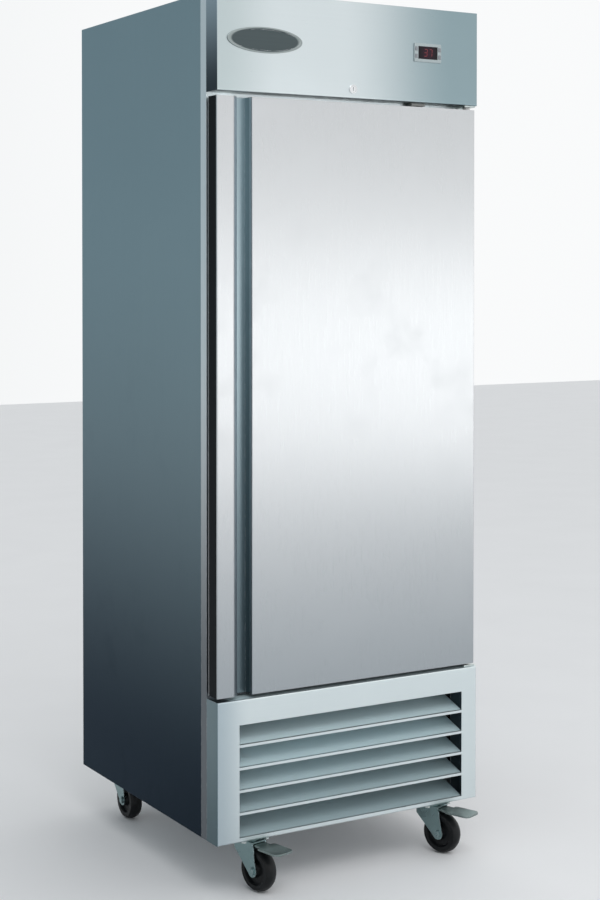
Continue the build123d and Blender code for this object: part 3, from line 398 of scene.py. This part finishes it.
lens_low, lens_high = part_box("display_window")
digit_proud = 0.00012
digit_y = lens_low.y - digit_proud
digit_z = (lens_low.z + lens_high.z) / 2
digit_x = (lens_low.x + lens_high.x) / 2
red_bars = digit_light()
for digit, dx in (("3", -0.007), ("7", 0.0075)):
    mesh = mesh_from(lambda shape: digit_shape(shape, digit, digit_x + dx, digit_y, digit_z),
                     "display_digit_" + digit)
    new_piece("display_digit_" + digit, mesh, red_bars, "cabinet")


def chrome():
    """Bright chromium plate with a light haze of handling."""
    material, shader, place = start_finish("lock_chrome", 1.0, 0.14)
    haze = noise(place, 90.0, 4.0)
    feed(shader, "Base Color", haze.mix((0.70, 0.72, 0.73, 1), (0.88, 0.89, 0.90, 1)))
    feed(shader, "Roughness", haze * 0.16 + 0.08)
    feed(shader, "Normal", rounded_normal(place, 0.0006, haze, 0.00003, 0.3))
    return material


dress(chrome(), "lock_housing", "lock_cylinder")
white_plastic = coated("white_plastic", (0.80, 0.80, 0.78, 1), (0.70, 0.70, 0.68, 1), 0.42, 600.0,
                       (0.86, 0.86, 0.85, 1))
dress(white_plastic, "door_switch", "hinge_bushes")
dress(zinc_small, "fasteners", "hinge_brackets")

# ---------------------------------------------------------------- lower grille
# A folded stainless pan, brushed side to side, with five louvres that slope back and up.
# The louvres' faces gather dust, so they are duller than the rails; the lower ones carry painted shade.

grille_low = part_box("louvre_grille")[0]
stile_inside = grille_low.x + 0.03
front_inside = grille_low.y + 0.002


def louvre_part(place):
    """1 on the louvres behind the front face, 0 on the pan's rails and ends."""
    inside = axis(place, 0).above(stile_inside, stile_inside + 0.01)
    return axis(place, 1).above(front_inside, front_inside + 0.004) * inside


def grille_painted_shade(place, colour):
    """The louvres behind the front face are dusty, duller and bluer; painted shade darkens the folded ends,
    the pan's left end and the lower louvres.
    """
    # Painted shade: the folded ends are darkest low down, and the pan's left end is darker.
    end = axis(place, 2).above(0.1, 0.5).mix((0.10, 0.155, 0.175, 1), (0.17, 0.235, 0.255, 1))
    colour = axis(place, 0).above(grille_low.x, grille_low.x + 0.09).mix((0.44, 0.52, 0.56, 1), colour)
    # Painted shade: the lower louvres are darker than the upper ones.
    dust = axis(place, 2).above(0.12, 0.42).mix((0.40, 0.51, 0.54, 1), (0.68, 0.84, 0.88, 1))
    colour = louvre_part(place).mix(colour, dust)
    return axis(place, 0).above(grille_low.x + fold, grille_low.x + fold * 3).mix(end, colour)


grille_steel = brushed_steel("grille_steel", (0.72, 0.79, 0.80, 1), (0.60, 0.67, 0.69, 1), 0.33, 0, 0.3,
                             shade=grille_painted_shade)
grille_place = Signal(grille_steel.node_tree.nodes["Texture Coordinate"].outputs["Object"])
feed(shader_of(grille_steel), "Metallic", 1.0 - louvre_part(grille_place) * 0.85)
dress(grille_steel, "louvre_grille")

# ---------------------------------------------------------------- door
# A stainless skin over foam, brushed up and down, folded into a lip and a finger channel.
# Its free edge and its ends are near-black plastic, partly painted shade, and a magnetic rubber seal runs
# round the back.

door_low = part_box("door_skin")[0]
bevel_foot = 0.009  # how far the bevel goes back from the door's face
channel_start = 0.004


def door_painted_shade(place, colour):
    """Painted shade: darker low down; the lip's bevel and the finger channel are painted darker the deeper
    they go.
    """
    z = axis(place, 2)
    depth = axis(place, 1) - door_low.y
    colour = z.above(0.30, 1.12).mix((0.34, 0.375, 0.40, 1), colour)
    bevel = z.above(0.3, 1.2).mix((0.28, 0.32, 0.355, 1), (0.67, 0.755, 0.81, 1))
    channel = z.above(0.3, 1.75).mix((0.118, 0.159, 0.177, 1), (0.34, 0.43, 0.465, 1))
    colour = depth.above(0.0006, bevel_foot * 0.5).mix(colour, bevel)
    return depth.above(bevel_foot, bevel_foot + channel_start).mix(colour, channel)


door_steel = brushed_steel("door_steel", (0.61, 0.625, 0.635, 1), (0.535, 0.55, 0.565, 1), 0.30, 2, 0.20,
                           shade=door_painted_shade)
dress(door_steel, "door_skin")
# Painted shade: the door's edge trim is near-black plastic with almost no reflection, standing in for the
# shade along the door's edge; the cable gland is plain black plastic.
black_plastic_and_painted_shade = coated("black_plastic_and_painted_shade", (0.010, 0.013, 0.015, 1), (0.005, 0.006, 0.008, 1), 0.50, 500.0,
                       (0.03, 0.03, 0.035, 1))
shader_of(black_plastic_and_painted_shade).inputs["Specular IOR Level"].default_value = 0.04
dress(black_plastic_and_painted_shade, "door_edge_trim", "cable_gland")


def seal_rubber():
    """Black extruded vinyl: fine lines along its length and a dusty bloom."""
    material, shader, place = start_finish("seal_rubber", 0.0, 0.6, Sheen_Weight=0.15)
    bloom = noise(place, 40.0, 5.0, 0.6)
    fine = noise(place, 800.0, 2.0)
    dusting = bloom * 0.6 + fine * 0.4
    feed(shader, "Base Color", dusting.mix((0.020, 0.020, 0.022, 1), (0.060, 0.060, 0.064, 1)))
    feed(shader, "Roughness", bloom * 0.25 + 0.45)
    feed(shader, "Normal", rounded_normal(place, 0.0005, fine, 0.0001, 0.4))
    return material


seal_low, seal_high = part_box("door_gasket")
seal_width = 0.020
seal_stand = seal_high.y - seal_low.y
# Across the seal from its outer edge, and how far it stands off the door: the dart foot, the
# bellows folds and the flat magnet bulb.
seal_section = [(0.0, 0.05), (0.05, 0.30), (0.16, 0.36), (0.20, 0.52), (0.12, 0.62), (0.06, 0.80),
                (0.10, 0.96), (0.24, 1.0), (0.76, 1.0), (0.90, 0.96), (0.94, 0.80), (0.88, 0.62),
                (0.80, 0.52), (0.84, 0.36), (0.95, 0.30), (1.0, 0.05), (0.98, 0.0), (0.02, 0.0)]


def seal_shape(shape):
    """The seal's section carried round the door, mitred at the four corners."""
    corners = [(seal_low.x, seal_low.z, 1, 1), (seal_high.x, seal_low.z, -1, 1),
               (seal_high.x, seal_high.z, -1, -1), (seal_low.x, seal_high.z, 1, -1)]
    loops = []
    for x, z, way_x, way_z in corners:
        loops.append([shape.verts.new((x + way_x * across * seal_width, seal_low.y + stand * seal_stand,
                                       z + way_z * across * seal_width))
                      for across, stand in seal_section])
    for n in range(4):
        here, there = loops[n], loops[(n + 1) % 4]
        for k in range(len(seal_section)):
            shape.faces.new([here[k], there[k], there[k - 1], here[k - 1]])


seal = new_piece("door_seal", mesh_from(seal_shape, "door_seal"), seal_rubber(), "door")
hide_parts("door_gasket")

# ---------------------------------------------------------------- cooling inside the compartment
# The finned coil, its fan and motor hang in a stainless hood under the roof.
# The lamp is a frosted strip behind the lintel.


fin_pitch = 0.0032


def finned():
    """Thin aluminium fins packed side by side, with painted shade in the dark gaps between them and a little
    dust.
    """
    material, shader, place = start_finish("coil_fins", 1.0, 0.42)
    turn = axis(place, 0) * (math.tau / fin_pitch)
    wave = turn.math("SINE", turn) * 0.5 + 0.5
    dust = noise(place, 24.0, 4.0).above(0.45, 0.75)
    # Painted shade: the dark part of the wave stands in for shade in the gaps between the fins.
    colour = wave.mix((0.10, 0.10, 0.11, 1), (0.72, 0.73, 0.74, 1))
    feed(shader, "Base Color", (dust * 0.4).mix(colour, (0.20, 0.19, 0.18, 1)))
    feed(shader, "Roughness", dust * 0.3 + 0.35)
    feed(shader, "Normal", rounded_normal(place, 0.0004, wave, 0.0008, 0.7))
    return material


dress(finned(), "evaporator_coil", "condenser_coil")
tray_plastic = coated("tray_plastic", (0.075, 0.077, 0.08, 1), (0.045, 0.046, 0.05, 1), 0.45, 320.0,
                      (0.16, 0.16, 0.165, 1))
dress(tray_plastic, "evaporator_fan", "evaporation_pan")
motor_metal = zinc_steel("motor_metal", (0.60, 0.61, 0.62, 1), (0.42, 0.43, 0.44, 1), 0.38, 240.0)
dress(motor_metal, "fan_motors", "condenser_fan")


def lamp_finish():
    """Frosted acrylic, ribbed along its length and softly lit."""
    material, shader, place = start_finish("lamp_lens", 0.0, 0.35, Emission_Strength=1.0)
    rib = place.node("TexWave", {"bands_direction": "Z"}, {"Vector": place, "Scale": 90.0, "Distortion": 0.2})
    haze = noise(place, 30.0, 3.0)
    feed(shader, "Base Color", haze.mix((0.82, 0.83, 0.82, 1), (0.92, 0.93, 0.92, 1)))
    feed(shader, "Roughness", haze * 0.2 + 0.25)
    feed(shader, "Normal", rounded_normal(place, 0.0006, rib, 0.0004, 0.4))
    return material


dress(lamp_finish(), "light_fixture")

# ---------------------------------------------------------------- machine space
# A black enamelled compressor on rubber feet, copper lines with a filter drier, a plastic drip tray
# and the grey electrical box.

enamel = coated("black_enamel", (0.030, 0.030, 0.032, 1), (0.018, 0.018, 0.020, 1), 0.26, 180.0,
                (0.16, 0.15, 0.14, 1), coat=0.5)
dress(enamel, "compressor")


def copper():
    """Drawn copper tube, bright in places and browned where it was brazed and handled."""
    material, shader, place = start_finish("drawn_copper", 1.0, 0.3)
    tarnish = noise(place, 22.0, 5.0, 0.6).above(0.35, 0.7)
    fine = noise(place, 500.0, 2.0)
    feed(shader, "Base Color", tarnish.mix((0.86, 0.47, 0.30, 1), (0.36, 0.17, 0.10, 1)))
    feed(shader, "Roughness", tarnish * 0.25 + fine * 0.08 + 0.18)
    feed(shader, "Normal", rounded_normal(place, 0.0005, fine, 0.00008, 0.3))
    return material


dress(copper(), "refrigerant_lines")
grey_plastic = coated("grey_plastic", (0.36, 0.38, 0.39, 1), (0.28, 0.30, 0.31, 1), 0.45, 380.0,
                      (0.50, 0.52, 0.53, 1))
dress(grey_plastic, "junction_box")

# ---------------------------------------------------------------- casters
# Zinc-plated pressed forks on ball races, black rubber wheels on moulded hubs, and two pressed
# brake pedals at the front.

fork_zinc = zinc_steel("fork_zinc", (0.27, 0.375, 0.38, 1), (0.20, 0.285, 0.295, 1), 0.30, 55.0, 0.15)
dress(fork_zinc, "caster_plates")
pedal_zinc = zinc_steel("pedal_zinc", (0.24, 0.30, 0.29, 1), (0.17, 0.215, 0.21, 1), 0.36, 55.0, 0.15)


def tread_rubber():
    """Black moulded rubber with ground-in floor dust round the tread."""
    material, shader, place = start_finish("tread_rubber", 0.0, 0.55, Specular_IOR_Level=0.2)
    dust = noise(place, 70.0, 5.0, 0.65).above(0.45, 0.75)
    fine = noise(place, 900.0, 2.0)
    colour = (dust * 0.16 + fine * 0.05).mix((0.004, 0.005, 0.006, 1), (0.05, 0.05, 0.05, 1))
    feed(shader, "Base Color", colour)
    feed(shader, "Roughness", dust * 0.25 + 0.36)
    feed(shader, "Normal", rounded_normal(place, 0.0008, fine + dust * 0.5, 0.0002, 0.5))
    return material


wheel_rubber = tread_rubber()
for place_name in ("front_left", "front_right", "rear_left", "rear_right"):
    dress(fork_zinc, "caster_fork_" + place_name)
    dress(wheel_rubber, "caster_wheel_" + place_name)
dress(pedal_zinc, "brake_pedal_front_left", "brake_pedal_front_right")

# ---------------------------------------------------------------- studio
# A pale floor, a low soft light ahead and to the right, a broad one high in front, and the camera.
# The air is darker to the left and behind, so the cabinet's side falls into shade.


def studio_floor():
    """Pale matt paper with the faintest clouding."""
    material, shader, place = start_finish("studio_floor", 0.0, 0.75)
    speck = noise(place, 3.0, 4.0)
    feed(shader, "Base Color", speck.mix((0.80, 0.80, 0.81, 1), (0.84, 0.84, 0.85, 1)))
    return material


def floor_shape(shape):
    reach = 14.0
    corners = ((-reach, -reach), (reach, -reach), (reach, reach), (-reach, reach))
    shape.faces.new([shape.verts.new((x, y, 0.0)) for x, y in corners])


floor = bpy.data.objects.new("studio_floor", mesh_from(floor_shape, "studio_floor"))
bpy.context.scene.collection.objects.link(floor)
floor.data.materials.append(studio_floor())

world = bpy.data.worlds.new("studio_air")
bpy.context.scene.world = world
world.use_nodes = True
air = world.node_tree.nodes["Background"]
way = Signal(world.node_tree.nodes.new("ShaderNodeTexCoord").outputs["Generated"])
lit_side = way.node("VectorMath", {"operation": "DOT_PRODUCT"}, {0: way, 1: (0.90, -0.43, 0.0)}, output=1)
feed(air, "Color", lit_side.above(-0.85, 0.05).mix((0.34, 0.40, 0.43, 1), (0.95, 0.96, 0.965, 1)))


def soft_light(name, place, aim, width, height, power, colour):
    """A rectangular light turned to face a point."""
    lamp = bpy.data.lights.new(name, "AREA")
    lamp.shape = "RECTANGLE"
    lamp.size = width
    lamp.size_y = height
    lamp.energy = power
    lamp.color = colour
    holder = bpy.data.objects.new(name, lamp)
    holder.location = place
    holder.rotation_euler = (Vector(aim) - Vector(place)).to_track_quat("-Z", "Y").to_euler()
    bpy.context.scene.collection.objects.link(holder)


soft_light("light_front", (2.5, -4.2, 1.0), (0.1, -0.3, 0.95), 3.6, 1.1, 15.5, (1.0, 0.995, 0.985))
soft_light("light_high", (-0.5, -3.2, 4.2), (0.0, 0.0, 1.0), 3.0, 2.0, 40, (0.97, 0.985, 1.0))

camera = bpy.data.objects.new("camera", bpy.data.cameras.new("camera"))
camera.data.lens = 68.16
camera.data.shift_y = -0.163
camera.data.clip_start = 0.05
camera.location = (-2.187, -3.794, 1.444)
camera.rotation_euler = (math.radians(89.0), 0.0, math.radians(-30.59))
bpy.context.scene.collection.objects.link(camera)
bpy.context.scene.camera = camera
bpy.context.scene.view_settings.view_transform = "Standard"
